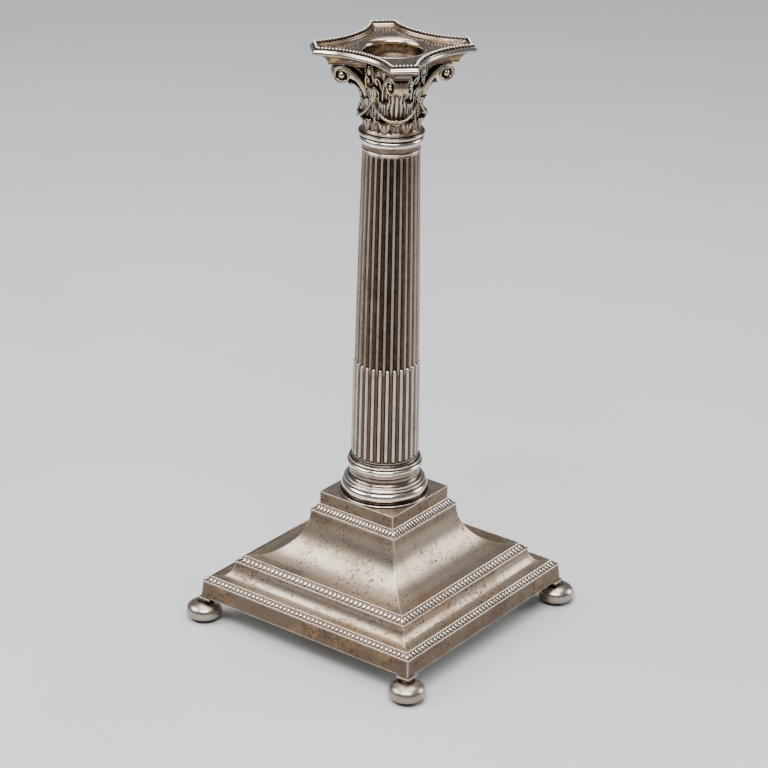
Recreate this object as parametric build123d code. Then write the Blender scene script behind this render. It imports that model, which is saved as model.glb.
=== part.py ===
from build123d import *
import math
import os

# Corinthian column candlestick with a square stepped base on ball feet and a lift-out nozzle.
# Millimetres. +Z is up, the base's sides run along X and Y, and the origin is on the surface
# the feet stand on, under the middle of the column. Heights below are above the underside of
# the base unless they say otherwise; save() lifts everything by FOOT_HEIGHT.

# ---------------------------------------------------------------- driving dimensions

# feet
FOOT_HEIGHT = 12.5          # from the standing surface to the underside of the base
FOOT_R = 9.3                # largest radius of a ball
FOOT_MIDDLE = 4.9           # height of a ball's widest place above the standing surface
FOOT_TOP = 10.0             # height of a ball's top, where its neck starts
FOOT_FLAT_R = 3.4
FOOT_SHOULDER = (7.5, 3.5)  # a point of a ball's side: radius, and distance above and below its middle
FOOT_CENTRE = 65.2          # distance of a foot from the middle, along X and along Y
FOOT_NECK_R = 2.2
FOOT_PLATE_SIDE = 7.4
FOOT_PLATE_T = 1.2
FOOT_PLATE_PROUD = 1.1      # how far a plate stands past the skirt

# base
SKIRT_HALF = 66.4           # half side at the bottom edge
SKIRT_TOP_HALF = 65.6
SKIRT_TOP = 8.6
LEDGE_OUT = 62.3            # lower ledge, from its outer edge to the small cove
LEDGE = 11.1
LOW_COVE_OUT = 59.5
LOW_COVE_IN = 53.8
LOW_COVE_TOP = 17.3
STEP_TOP = 18.8
STEP_OUT = 50.0             # upper ledge, from its outer edge to the tall cove
STEP = 22.0
TALL_COVE_OUT = 45.5
TALL_COVE_MID = (33.0, 29.5)
TALL_COVE_IN = 26.6
TALL_COVE_TOP = 46.6
CROWN_HALF = 23.0           # flat top of the base shell
CROWN = 50.1
SHELL_T = 1.2
CLOSING_PLATE_T = 1.5
CLOSING_PLATE_HALF = 65.0
BAND_T = 0.6                # beaded mouldings: thickness at the edges, and rise of the crown
BAND_EDGE_W = 0.5
BAND_RISE = 0.5
PLINTH_HALF = 23.3
PLINTH_TOP = 57.1
PLINTH_T = 1.2

# shaft
SHAFT_BOTTOM = 77.4
SHAFT_TOP = 240.2
FLUTE_BOTTOM = 78.9
FLUTE_TOP = 239.2
SHAFT_R_BOTTOM = 16.7
SHAFT_R_TOP = 14.1
SHAFT_SWELL = 0.35          # entasis: how far the middle stands outside a straight taper
SHAFT_WALL = 2.2
FLUTES = 28
FLUTE_SHARE = 0.68          # part of the pitch that a flute takes
FLUTE_DEPTH = 1.1
REED_TOP = 129.0
REED_PROUD = 0.35
NECK_TOP = 250.0

# capital
BELL_TOP = 283.5
BELL_FOOT_R = 15.2
BELL_FOOT_TOP = 253.0
BELL_R = 12.9
BELL_STRAIGHT_TOP = 262.0
BELL_MID = (14.0, 272.0)
BELL_LIP_R = 17.0
BELL_T = 0.6
LEAVES = 8
LEAF_T = 0.8
LEAF_TIP_R = 0.9
LOW_LEAF_W = 8.0
LOW_LEAF_TOP = 259.0
HIGH_LEAF_W = 7.0
HIGH_LEAF_TOP = 269.5
VOLUTE_R = 3.9
VOLUTE_RADIAL = 25.0
VOLUTE_Z = 278.5
VOLUTE_W = 9.4
STALK_T = 2.2
FLEURON_FRONT = 19.4
FLEURON_Z = 283.0
FLEURON_W = 5.2
FLEURON_H = 8.4
GARLAND_R = 16.4
GARLAND_TOP = 268.0
GARLAND_LOW = 258.4
GARLAND_WIRE_R = 0.5
GARLAND_RING_R = 1.5
BUTTON_R = 1.2
BUTTON_FRONT = 16.4
DROP_LOW = 259.8
ABACUS_TOP = 288.7
ABACUS_HOLE_R = 15.6
ABACUS_FOOT = (25.0, 5.6, 7.4)      # half side, corner cut and hollow of a side
ABACUS_HEAD = (28.2, 7.2, 7.0)

# nozzle
NOZZLE_EDGE = (30.5, 8.3, 7.0)      # the line of beads: half side, corner cut, hollow of a side
BORE_R = 11.1
BORE_LOW = 258.5
BORE_TOP = 281.0
SOCKET_T = 0.6
SOCKET_FLOOR_T = 1.2
RUNNING_GAP = 0.05                  # radial clearance of the socket in its sleeve
WELL_MOUTH_R = 16.8
WELL_THROAT_R = 14.2
WELL_THROAT = 287.6
WELL_COLLAR_R = 17.6
PAN_UNDER = 288.8
PAN_TOP = 291.4
PAN_STEP = 290.95
PAN_FLOOR = 290.3
PAN_STEP_IN = 1.6
PAN_FLOOR_IN = 2.6
RIM_IN = 0.6
RIM_OUT = 2.0
RIM_LOW = 289.1
RIM_TOP = 291.5
BEAD_IN = 0.9
BEAD_TOP = 293.4
LIFT_GAP = 0.3                      # gap under the socket when the nozzle is home

# inner pieces
SLEEVE_FLOOR_T = 2.0
SLEEVE_TOP = 280.6
ROD_R = 2.5
ROD_LOW = -7.0
TIE_NUT_R = 5.2
TIE_NUT_T = 4.0
TIE_WASHER_R = 8.0
TIE_WASHER_T = 1.2

REACH = 90.0                        # longer than half the base
QUARTERS = (0, 90, 180, 270)
CORNER_SIGNS = ((1, 1), (1, -1), (-1, 1), (-1, -1))

SOCKET_OUT_R = BORE_R + SOCKET_T
SLEEVE_IN_R = SOCKET_OUT_R + RUNNING_GAP
SLEEVE_OUT_R = BELL_R - BELL_T
SLEEVE_FLOOR_TOP = BORE_LOW - SOCKET_FLOOR_T - LIFT_GAP


# ---------------------------------------------------------------- helpers

def save(name, *solids):
    """Lift the solids onto the feet's standing surface and write them as one node."""
    lifted = [Pos(0, 0, FOOT_HEIGHT) * solid for solid in solids]
    shape = lifted[0] if len(lifted) == 1 else Compound(children=lifted)
    export_step(shape, "parts/" + name + ".step")


def at_corners(distance, z=0.0):
    """The four places at the same distance along X and along Y."""
    return [Pos(sx * distance, sy * distance, z) for sx, sy in CORNER_SIGNS]


def polygon(*points):
    return Polyline(*points, close=True)


def square_solid(section):
    """A square solid with mitred corners, from the whole of its section in (x, z)."""
    bar = extrude(Plane.XZ * section, amount=REACH, both=True)
    return bar & (Rot(0, 0, 90) * bar)


def both_sides(half_outline):
    """The whole section, from the outline of its right half."""
    half = make_face(half_outline)
    return half + mirror(half, about=Plane.YZ)


def turned(outline):
    """A solid of revolution about Z, from a closed outline in (radius, z)."""
    return revolve(Plane.XZ * make_face(outline), Axis.Z)


def tube(outer, inner, low, high):
    return turned(polygon((inner, low), (outer, low), (outer, high), (inner, high)))


def rod(radius, low, high):
    return Pos(0, 0, low) * extrude(Circle(radius), amount=high - low)


def nut(radius, bore, low, height):
    blank = RegularPolygon(radius, 6) - Circle(bore)
    return Pos(0, 0, low) * extrude(blank, amount=height)


def slab(half, low, high):
    return Pos(0, 0, low) * extrude(Rectangle(2 * half, 2 * half), amount=high - low)


def hollow_sided(half, cut, hollow):
    """A square face with cut corners, whose sides curve inwards."""
    end = half - cut
    side = ThreePointArc((half, -end), (half - hollow, 0), (half, end))
    corner = Line((half, end), (end, half))
    return make_face([Rot(0, 0, q) * edge for q in QUARTERS for edge in (side, corner)])


def nozzle_edge(offset):
    """The nozzle's outline, moved out by an even distance."""
    half, cut, hollow = NOZZLE_EDGE
    return hollow_sided(half + offset, cut + 0.6 * offset, hollow)


def layered(*levels):
    """A solid through faces at rising heights: (face, z), (face, z), ..."""
    return loft([Pos(0, 0, z) * face for face, z in levels], ruled=True)


# ---------------------------------------------------------------- feet and underside

def ball_foot():
    """A flattened ball with a flat under it and a short neck up to its plate."""
    low = -FOOT_HEIGHT
    middle = low + FOOT_MIDDLE
    top = low + FOOT_TOP
    shoulder_r, shoulder = FOOT_SHOULDER
    return turned([
        Line((0, low), (FOOT_FLAT_R, low)),
        Spline((FOOT_FLAT_R, low), (shoulder_r, middle - shoulder), (FOOT_R, middle),
               (shoulder_r, middle + shoulder), (FOOT_NECK_R, top), tangents=[(1, 0), (-1, 0)]),
        Polyline((FOOT_NECK_R, top), (FOOT_NECK_R, -FOOT_PLATE_T), (0, -FOOT_PLATE_T), (0, low)),
    ])


def feet():
    plate_at = SKIRT_HALF + FOOT_PLATE_PROUD - FOOT_PLATE_SIDE / 2
    plate = slab(FOOT_PLATE_SIDE / 2, -FOOT_PLATE_T, 0)
    save("ball_feet", *[place * ball_foot() for place in at_corners(FOOT_CENTRE)])
    save("foot_plates", *[place * plate for place in at_corners(plate_at)])


def closing_plate():
    plate = slab(CLOSING_PLATE_HALF, 0, CLOSING_PLATE_T)
    save("closing_plate", plate - rod(ROD_R, -1, CLOSING_PLATE_T + 1))


# ---------------------------------------------------------------- base

def base_section(inset=0.0):
    """The outside of the base without its beaded mouldings, or the same moved inwards."""
    bit = 0.4 * inset
    return both_sides([
        Polyline((0, 0), (SKIRT_HALF - inset, 0), (SKIRT_TOP_HALF - inset, SKIRT_TOP - bit),
                 (LEDGE_OUT - bit, LEDGE - inset), (LOW_COVE_OUT, LEDGE - inset)),
        EllipticalCenterArc((LOW_COVE_OUT, LOW_COVE_TOP), LOW_COVE_OUT - LOW_COVE_IN + inset,
                            LOW_COVE_TOP - LEDGE + inset, start_angle=180, arc_size=90),
        Polyline((LOW_COVE_IN - inset, LOW_COVE_TOP), (LOW_COVE_IN - inset, STEP_TOP - bit),
                 (STEP_OUT - bit, STEP - inset), (TALL_COVE_OUT, STEP - inset)),
        Spline((TALL_COVE_OUT, STEP - inset), (TALL_COVE_MID[0] - bit, TALL_COVE_MID[1] - inset),
               (TALL_COVE_IN - inset, TALL_COVE_TOP - bit), tangents=[(-1, 0), (0, 1)]),
        Polyline((TALL_COVE_IN - inset, TALL_COVE_TOP - bit), (CROWN_HALF - bit, CROWN - inset),
                 (0, CROWN - inset), (0, 0)),
    ])


def base_cavity():
    """The space inside the base shell, open at the bottom."""
    return square_solid(base_section(SHELL_T)) + slab(CLOSING_PLATE_HALF, -1, 2 * SHELL_T)


def bead_band(out, low, inner, high):
    """A crowned moulding, mitred at the corners, on the slope from (out, low) to (inner, high)."""
    foot = Vector(out, low)
    head = Vector(inner, high)
    along = (head - foot).normalized()
    away = Vector(along.Y, -along.X)
    lip_foot = foot + away * BAND_T
    lip_head = head + away * BAND_T
    crown_foot = lip_foot + along * BAND_EDGE_W
    crown_head = lip_head - along * BAND_EDGE_W
    crown_top = (crown_foot + crown_head) * 0.5 + away * BAND_RISE
    outside = both_sides([
        Polyline((0, lip_head.Y), (0, low), foot, lip_foot, crown_foot),
        ThreePointArc(crown_foot, crown_top, crown_head),
        Polyline(crown_head, lip_head, (0, lip_head.Y)),
    ])
    inside = both_sides(polygon((0, low), foot, head, lip_head, (0, lip_head.Y)))
    return square_solid(outside) - square_solid(inside)


def base():
    cavity = base_cavity()
    rod_hole = rod(ROD_R, -REACH, REACH)
    shell = square_solid(base_section()) - cavity - rod_hole
    filler = cavity & slab(REACH, CLOSING_PLATE_T, REACH)
    save("base_shell", shell)
    save("base_filler", filler - rod_hole)
    save("lower_bead_border", bead_band(SKIRT_TOP_HALF, SKIRT_TOP, LEDGE_OUT, LEDGE))
    save("middle_bead_border", bead_band(LOW_COVE_IN, STEP_TOP, STEP_OUT, STEP))
    save("upper_bead_border", bead_band(TALL_COVE_IN, TALL_COVE_TOP, CROWN_HALF, CROWN))


def plinth_block():
    block = slab(PLINTH_HALF, CROWN, PLINTH_TOP)
    block = block - slab(PLINTH_HALF - PLINTH_T, CROWN - 1, PLINTH_TOP - PLINTH_T)
    block = block - (slab(REACH, 0, CROWN + 1) - slab(CROWN_HALF, -1, REACH))
    save("plinth_block", block - rod(ROD_R, 0, REACH))


# ---------------------------------------------------------------- column

def shaft_radius(z):
    """Radius over the fillets at a height: a straight taper with a slight swell."""
    t = (z - SHAFT_BOTTOM) / (SHAFT_TOP - SHAFT_BOTTOM)
    return SHAFT_R_BOTTOM + (SHAFT_R_TOP - SHAFT_R_BOTTOM) * t + SHAFT_SWELL * math.sin(math.pi * t)


def ring_point(radius, turn):
    """A point on a circle; turn is counted in flutes."""
    angle = 2 * math.pi * turn / FLUTES
    return (radius * math.cos(angle), radius * math.sin(angle))


def fluted_section(z):
    radius = shaft_radius(z)
    half = FLUTE_SHARE / 2
    edges = []
    for k in range(FLUTES):
        edges.append(ThreePointArc(ring_point(radius, k - half), ring_point(radius - FLUTE_DEPTH, k),
                                   ring_point(radius, k + half)))
        edges.append(ThreePointArc(ring_point(radius, k + half), ring_point(radius, k + 0.5),
                                   ring_point(radius, k + 1 - half)))
    return make_face(edges)


def reed_section(z):
    """The section of one reed: it fills a flute and stands a little proud."""
    radius = shaft_radius(z)
    half = FLUTE_SHARE / 2
    return make_face([
        ThreePointArc(ring_point(radius, -half), ring_point(radius - FLUTE_DEPTH, 0),
                      ring_point(radius, half)),
        ThreePointArc(ring_point(radius, half), ring_point(radius + REED_PROUD, 0),
                      ring_point(radius, -half)),
    ])


def shaft_core(low, high, wall):
    """The round solid inside the shaft, a wall's thickness under its fillets."""
    heights = [low, REED_TOP, (low + high) / 2, high]
    side = [(shaft_radius(z) - wall, z) for z in heights]
    return turned(polygon((0, low), *side, (0, high)))


def column():
    levels = [FLUTE_BOTTOM, REED_TOP, (SHAFT_BOTTOM + SHAFT_TOP) / 2, FLUTE_TOP]
    shaft = layered(*[(fluted_section(z), z) for z in levels])
    shaft = shaft + rod(shaft_radius(SHAFT_BOTTOM), SHAFT_BOTTOM, FLUTE_BOTTOM)
    shaft = shaft + rod(shaft_radius(SHAFT_TOP), FLUTE_TOP, SHAFT_TOP)
    core = shaft_core(SHAFT_BOTTOM, SHAFT_TOP, SHAFT_WALL)
    reed = layered((reed_section(FLUTE_BOTTOM), FLUTE_BOTTOM), (reed_section(REED_TOP), REED_TOP))
    save("column_shaft", shaft - core)
    save("stop_reeds", *[Rot(0, 0, 360 * k / FLUTES) * reed for k in range(FLUTES)])
    save("column_filler", core - rod(ROD_R, 0, 2 * SHAFT_TOP))


def column_base():
    """Torus, fillets, scotia and smaller torus, and a thin ring under the shaft."""
    bore = shaft_radius(SHAFT_BOTTOM) - SHAFT_WALL
    save("column_base", turned([
        Polyline((bore, SHAFT_BOTTOM), (bore, PLINTH_TOP), (23.0, PLINTH_TOP), (23.0, 58.0), (21.2, 58.3),
                 (21.0, 58.9)),
        ThreePointArc((21.0, 58.9), (21.95, 61.2), (20.7, 63.4)),
        Polyline((20.7, 63.4), (20.2, 63.6), (20.2, 64.0), (20.7, 64.1), (20.7, 65.0), (19.4, 65.2), (19.3, 66.3),
                 (18.5, 66.5)),
        ThreePointArc((18.5, 66.5), (17.1, 68.6), (18.0, 70.9)),
        Polyline((18.0, 70.9), (18.5, 71.0), (18.5, 72.5)),
        ThreePointArc((18.5, 72.5), (19.2, 73.9), (18.5, 75.2)),
        Polyline((18.5, 75.2), (17.9, 75.2), (17.9, 75.7), (18.4, 75.8), (18.4, 76.4),
                 (shaft_radius(SHAFT_BOTTOM), SHAFT_BOTTOM), (bore, SHAFT_BOTTOM)),
    ]))


def neck_collar():
    """Hollow neck, torus and flared ring, closed at the top where the bell stands."""
    bore = shaft_radius(SHAFT_TOP) - SHAFT_WALL
    top_r = shaft_radius(SHAFT_TOP)
    save("neck_collar", turned([
        Polyline((bore, NECK_TOP), (bore, SHAFT_TOP), (top_r, SHAFT_TOP), (14.2, 240.9)),
        ThreePointArc((14.2, 240.9), (14.1, 242.6), (14.7, 243.9)),
        ThreePointArc((14.7, 243.9), (15.6, 245.7), (14.4, 247.4)),
        Line((14.4, 247.4), (14.4, 248.0)),
        ThreePointArc((14.4, 248.0), (15.8, 248.3), (16.2, 249.2)),
        Polyline((16.2, 249.2), (16.0, NECK_TOP), (bore, NECK_TOP)),
    ]))


# ---------------------------------------------------------------- capital

def bell_solid(grow=0.0, low=NECK_TOP, high=BELL_TOP):
    """The bell as a full solid, with its side moved out by an even amount."""
    side = [
        ThreePointArc((BELL_FOOT_R + grow, NECK_TOP), (BELL_R + 0.7 + grow, 251.2),
                      (BELL_R + grow, BELL_FOOT_TOP)),
        Line((BELL_R + grow, BELL_FOOT_TOP), (BELL_R + grow, BELL_STRAIGHT_TOP)),
        Spline((BELL_R + grow, BELL_STRAIGHT_TOP), (BELL_MID[0] + grow, BELL_MID[1]),
               (BELL_LIP_R + grow, BELL_TOP), tangents=[(0, 1), (1, 1)]),
    ]
    close = Polyline((BELL_LIP_R + grow, BELL_TOP), (0, BELL_TOP), (0, NECK_TOP),
                     (BELL_FOOT_R + grow, NECK_TOP))
    return turned(side + [close]) & rod(REACH, low, high)


def capital_bell():
    save("capital_bell", bell_solid() - bell_solid(-BELL_T) - rod(SLEEVE_OUT_R, NECK_TOP, BELL_TOP)
         - rod(BELL_LIP_R - BELL_T, BELL_TOP - BELL_T, BELL_TOP))


def leaf_outline(width, top):
    """A leaf's outline seen from the front: straight at the foot, pointed at the tip."""
    return make_face([
        Polyline((-width / 3, top - 4), (-width / 2.4, BELL_FOOT_TOP), (width / 2.4, BELL_FOOT_TOP),
                 (width / 3, top - 4)),
        ThreePointArc((width / 3, top - 4), (width / 3.2, top - 1.2), (0, top)),
        ThreePointArc((0, top), (-width / 3.2, top - 1.2), (-width / 3, top - 4)),
    ])


def leaf(width, top):
    """One leaf that lies on the bell, with its tip curled out."""
    layer = bell_solid(LEAF_T, BELL_FOOT_TOP, top)
    tip_at = BELL_R + LEAF_T + (top - BELL_STRAIGHT_TOP) * 0.06 if top > BELL_STRAIGHT_TOP else BELL_R + LEAF_T
    tip = Plane.XZ * Pos(tip_at, top - LEAF_TIP_R - 0.3) * Circle(LEAF_TIP_R)
    layer = layer + revolve(tip, Axis.Z)
    return (layer & extrude(Plane.YZ * leaf_outline(width, top), amount=REACH)) - bell_solid()


def acanthus():
    low_leaf = leaf(LOW_LEAF_W, LOW_LEAF_TOP)
    high_leaf = leaf(HIGH_LEAF_W, HIGH_LEAF_TOP)
    pitch = 360 / LEAVES
    for side in (-1, 1):
        high_leaf = high_leaf - Rot(0, 0, side * pitch / 2) * low_leaf
    low_leaves = [Rot(0, 0, (k + 0.5) * pitch) * low_leaf for k in range(LEAVES)]
    high_leaves = [Rot(0, 0, k * pitch) * high_leaf for k in range(LEAVES)]
    save("lower_acanthus", *low_leaves)
    save("upper_acanthus", *high_leaves)
    return low_leaves + high_leaves


def corner_volute(leaves):
    """A scroll on a stalk that rises from the bell, with a short block up to the abacus."""
    scroll = Pos(VOLUTE_RADIAL, VOLUTE_Z) * Circle(VOLUTE_R)
    stalk = trace(ThreePointArc((13.5, 262.5), (17.0, 270.5), (24.5, 275.6)), line_width=STALK_T)
    block = Pos(VOLUTE_RADIAL - 1, (VOLUTE_Z + BELL_TOP) / 2) * Rectangle(3, BELL_TOP - VOLUTE_Z)
    solid = extrude(Plane.XZ * (scroll + stalk + block), amount=VOLUTE_W / 2, both=True)
    solid = Rot(0, 0, 45) * solid - bell_solid()
    for one in leaves:
        solid = solid - one
    return solid


def abacus():
    foot = hollow_sided(*ABACUS_FOOT)
    head = hollow_sided(*ABACUS_HEAD)
    middle = hollow_sided(*[a + (b - a) * 0.3 for a, b in zip(ABACUS_FOOT, ABACUS_HEAD)])
    rise = ABACUS_TOP - BELL_TOP
    solid = layered((foot, BELL_TOP), (foot, BELL_TOP + 0.16 * rise), (middle, BELL_TOP + 0.5 * rise),
                    (head, BELL_TOP + 0.9 * rise), (head, ABACUS_TOP))
    return solid - rod(ABACUS_HOLE_R, BELL_TOP - 1, ABACUS_TOP + 1)


def fleuron(solid_abacus):
    """An oval boss on the middle of one side of the abacus."""
    oval = Pos(0, FLEURON_Z) * Ellipse(FLEURON_W / 2, FLEURON_H / 2)
    boss = extrude(Plane.YZ * oval, amount=FLEURON_FRONT)
    return boss - bell_solid() - solid_abacus - rod(ABACUS_HOLE_R, BELL_TOP - 1, ABACUS_TOP)


def button(leaves):
    """A round button on the bell with a drop hanging from it."""
    knob = extrude(Plane.YZ * Pos(0, GARLAND_TOP) * Circle(BUTTON_R), amount=BUTTON_FRONT)
    drop = Pos(BUTTON_FRONT - 0.7, 0, DROP_LOW) * extrude(Circle(0.6), amount=GARLAND_TOP - DROP_LOW)
    solid = knob + drop - bell_solid()
    for one in leaves:
        solid = solid - one
    return solid


def garland(one_button):
    """A swag from one face's button to the next, across the corner, with a ring at its lowest point."""
    low_point = GARLAND_R / math.sqrt(2)
    path = ThreePointArc((BUTTON_FRONT - 0.7, 0, GARLAND_TOP), (low_point, low_point, GARLAND_LOW),
                         (0, BUTTON_FRONT - 0.7, GARLAND_TOP))
    cord = sweep(Plane(path @ 0, z_dir=path % 0) * Circle(GARLAND_WIRE_R), path)
    ring = Pos(low_point, low_point, GARLAND_LOW - 0.6) * Rot(0, 0, 45) * Rot(0, 90, 0) * Torus(
        GARLAND_RING_R, GARLAND_WIRE_R)
    return cord + ring - one_button - Rot(0, 0, 90) * one_button


def capital_ornament():
    leaves = acanthus()
    solid_abacus = abacus()
    one_button = button(leaves)
    one_volute = corner_volute(leaves)
    one_garland = garland(one_button) - one_volute
    one_fleuron = fleuron(solid_abacus)
    save("capital_abacus", solid_abacus)
    save("corner_volutes", *[Rot(0, 0, q) * one_volute for q in QUARTERS])
    save("fleurons", *[Rot(0, 0, q) * one_fleuron for q in QUARTERS])
    save("garland_buttons", *[Rot(0, 0, q) * one_button for q in QUARTERS])
    save("garlands", *[Rot(0, 0, q) * one_garland for q in QUARTERS])


def capital_sleeve():
    """The closed tube that the nozzle's socket drops into."""
    floor_low = SLEEVE_FLOOR_TOP - SLEEVE_FLOOR_T
    outside = rod(SLEEVE_OUT_R, floor_low, SLEEVE_TOP)
    save("capital_sleeve", outside - rod(SLEEVE_IN_R, SLEEVE_FLOOR_TOP, SLEEVE_TOP + 1))


def tie():
    """The rod that draws the capital, column and base together, with its washer and nut."""
    rod_top = SLEEVE_FLOOR_TOP - SLEEVE_FLOOR_T
    save("tie_rod", rod(ROD_R, ROD_LOW, rod_top))
    save("tie_washer", tube(TIE_WASHER_R, ROD_R, -TIE_WASHER_T, 0))
    save("tie_nut", nut(TIE_NUT_R, ROD_R, -TIE_WASHER_T - TIE_NUT_T, TIE_NUT_T))


# ---------------------------------------------------------------- nozzle

def nozzle_socket():
    """The candle socket, its flared mouth and the collar that the pan is fixed to."""
    floor_low = BORE_LOW - SOCKET_FLOOR_T
    save("nozzle_socket", turned([
        Polyline((0, BORE_LOW), (0, floor_low), (SOCKET_OUT_R, floor_low), (SOCKET_OUT_R, BORE_TOP),
                 (WELL_THROAT_R + 0.8, 284.5), (WELL_THROAT_R + 0.9, PAN_UNDER),
                 (WELL_COLLAR_R, PAN_UNDER), (WELL_COLLAR_R, PAN_FLOOR), (WELL_MOUTH_R, PAN_FLOOR)),
        ThreePointArc((WELL_MOUTH_R, PAN_FLOOR), (WELL_THROAT_R + 0.9, PAN_FLOOR - 0.9),
                      (WELL_THROAT_R, WELL_THROAT)),
        Polyline((WELL_THROAT_R, WELL_THROAT), (WELL_THROAT_R - 0.3, 285.0), (BORE_R, BORE_TOP),
                 (BORE_R, BORE_LOW), (0, BORE_LOW)),
    ]))


def nozzle_pan():
    plate = layered((nozzle_edge(RIM_IN), PAN_UNDER), (nozzle_edge(RIM_IN), PAN_TOP))
    step = layered((nozzle_edge(-PAN_STEP_IN), PAN_STEP), (nozzle_edge(-PAN_STEP_IN), PAN_TOP + 1))
    dish = layered((nozzle_edge(-PAN_FLOOR_IN), PAN_FLOOR), (nozzle_edge(-PAN_FLOOR_IN), PAN_TOP + 1))
    save("nozzle_pan", plate - step - dish - rod(WELL_COLLAR_R, PAN_UNDER - 1, PAN_TOP + 1))


def nozzle_rim():
    rise = RIM_TOP - RIM_LOW
    outside = layered((nozzle_edge(RIM_OUT - 0.7), RIM_LOW), (nozzle_edge(RIM_OUT), RIM_LOW + 0.25 * rise),
                      (nozzle_edge(RIM_OUT), RIM_LOW + 0.55 * rise), (nozzle_edge(RIM_OUT - 0.8), RIM_TOP))
    inside = layered((nozzle_edge(RIM_IN), RIM_LOW - 1), (nozzle_edge(RIM_IN), RIM_TOP + 1))
    save("nozzle_rim", outside - inside)


def nozzle_bead_border():
    outside = layered((nozzle_edge(0.5), PAN_TOP), (nozzle_edge(0.5), BEAD_TOP - 0.6),
                      (nozzle_edge(0.2), BEAD_TOP))
    inside = layered((nozzle_edge(-BEAD_IN), PAN_TOP - 1), (nozzle_edge(-BEAD_IN), BEAD_TOP + 1))
    save("nozzle_bead_border", outside - inside)


def main():
    os.makedirs("parts", exist_ok=True)
    feet()
    closing_plate()
    base()
    plinth_block()
    column_base()
    column()
    neck_collar()
    capital_bell()
    capital_ornament()
    capital_sleeve()
    tie()
    nozzle_socket()
    nozzle_pan()
    nozzle_rim()
    nozzle_bead_border()


main()
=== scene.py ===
from math import atan2, copysign, cos, exp, hypot, pi, radians, sin, sqrt

import bpy
import numpy as np
from mathutils import Matrix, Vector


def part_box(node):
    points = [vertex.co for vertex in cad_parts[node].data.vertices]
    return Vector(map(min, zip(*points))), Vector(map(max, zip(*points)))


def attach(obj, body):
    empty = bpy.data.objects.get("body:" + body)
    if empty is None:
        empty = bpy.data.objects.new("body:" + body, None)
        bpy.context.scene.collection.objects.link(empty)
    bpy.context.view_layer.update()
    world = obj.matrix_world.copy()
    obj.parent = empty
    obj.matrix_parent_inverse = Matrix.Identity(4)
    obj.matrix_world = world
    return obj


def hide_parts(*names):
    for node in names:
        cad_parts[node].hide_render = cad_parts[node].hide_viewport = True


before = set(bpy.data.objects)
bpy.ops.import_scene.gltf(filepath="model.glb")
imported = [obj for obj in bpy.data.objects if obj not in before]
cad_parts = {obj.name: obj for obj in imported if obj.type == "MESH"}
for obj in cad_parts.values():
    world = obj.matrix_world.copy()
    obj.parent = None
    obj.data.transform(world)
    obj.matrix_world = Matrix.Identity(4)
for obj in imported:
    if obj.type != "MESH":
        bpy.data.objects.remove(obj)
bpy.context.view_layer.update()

MM = 0.001
QUARTERS = (0, 90, 180, 270)
CORNERS = (45, 135, 225, 315)
QUARTER_TURNS = ((1, 0), (0, 1), (-1, 0), (0, -1))      # their cosines and sines


def levels_of(node):
    """The lowest and highest level of a CAD node, in millimetres above the standing surface."""
    low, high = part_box(node)
    return round(low.z / MM, 2), round(high.z / MM, 2)


LIFT = levels_of("base_shell")[0]       # every height below counts from the underside of the base


# ------------------------------------------------------------------ mesh helpers

class Heap:
    """Vertices and faces of one piece, in millimetres.

    Each vertex says how hollow its place is, for tarnish and painted shade, and how rubbed it is, from 0 to
    1.
    """

    def __init__(self):
        self.points = []
        self.faces = []
        self.hollows = []
        self.rubs = []

    def add(self, points, faces, hollow=0.0, rub=0.0):
        start = len(self.points)
        points = np.asarray(points, float).reshape(-1, 3)
        self.points.extend(points.tolist())
        self.faces.extend([tuple(start + i for i in face) for face in faces])
        for store, value in ((self.hollows, hollow), (self.rubs, rub)):
            store.extend(np.broadcast_to(np.asarray(value, float).ravel(), (len(points),)).tolist())

    def add_rings(self, rings, hollow=0.0, rub=0.0):
        """Rings of the same number of points, joined each to the next and the last to the first."""
        rows, columns = np.shape(rings)[:2]
        hollow, rub = (np.repeat(np.broadcast_to(value, (rows,)), columns) for value in (hollow, rub))
        self.add(rings, loop_faces(rows, columns), hollow, rub)

    def piece(self, node, suffix, material, body="stick"):
        """Make the piece that stands for a CAD node."""
        name = node + "_" + suffix
        mesh = bpy.data.meshes.new(name)
        points = (np.array(self.points) + (0, 0, LIFT)) * MM
        mesh.from_pydata(points.tolist(), [], self.faces)
        mesh.validate()
        mesh.update()
        for title, values in (("hollow", self.hollows), ("rub", self.rubs)):
            layer = mesh.attributes.new(title, "FLOAT", "POINT")
            layer.data.foreach_set("value", np.array(values, np.float32))
        mesh.shade_smooth()
        mesh.materials.append(material)
        obj = bpy.data.objects.new(name, mesh)
        bpy.context.scene.collection.objects.link(obj)
        normals = obj.modifiers.new("even normals", "WEIGHTED_NORMAL")
        normals.keep_sharp = True
        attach(obj, body)
        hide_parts(node)


def loop_faces(rows, columns):
    """Quads over a grid that closes on itself both ways."""
    faces = []
    for i in range(rows):
        k = (i + 1) % rows
        for j in range(columns):
            m = (j + 1) % columns
            faces.append((i * columns + j, i * columns + m, k * columns + m, k * columns + j))
    return faces


def bar_faces(rows, columns):
    """Quads round a bar of many sections, and a cap on each end."""
    faces = loop_faces(rows, columns)[:-columns]
    faces.append(tuple(range(columns))[::-1])
    faces.append(tuple(range((rows - 1) * columns, rows * columns)))
    return faces


def plate_faces(count):
    """The two faces of a flat plate, each an outline of count points, and the edge between them."""
    faces = [tuple(range(count)), tuple(range(2 * count - 1, count - 1, -1))]
    faces += [((i + 1) % count, i, count + i, count + (i + 1) % count) for i in range(count)]
    return faces


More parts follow.
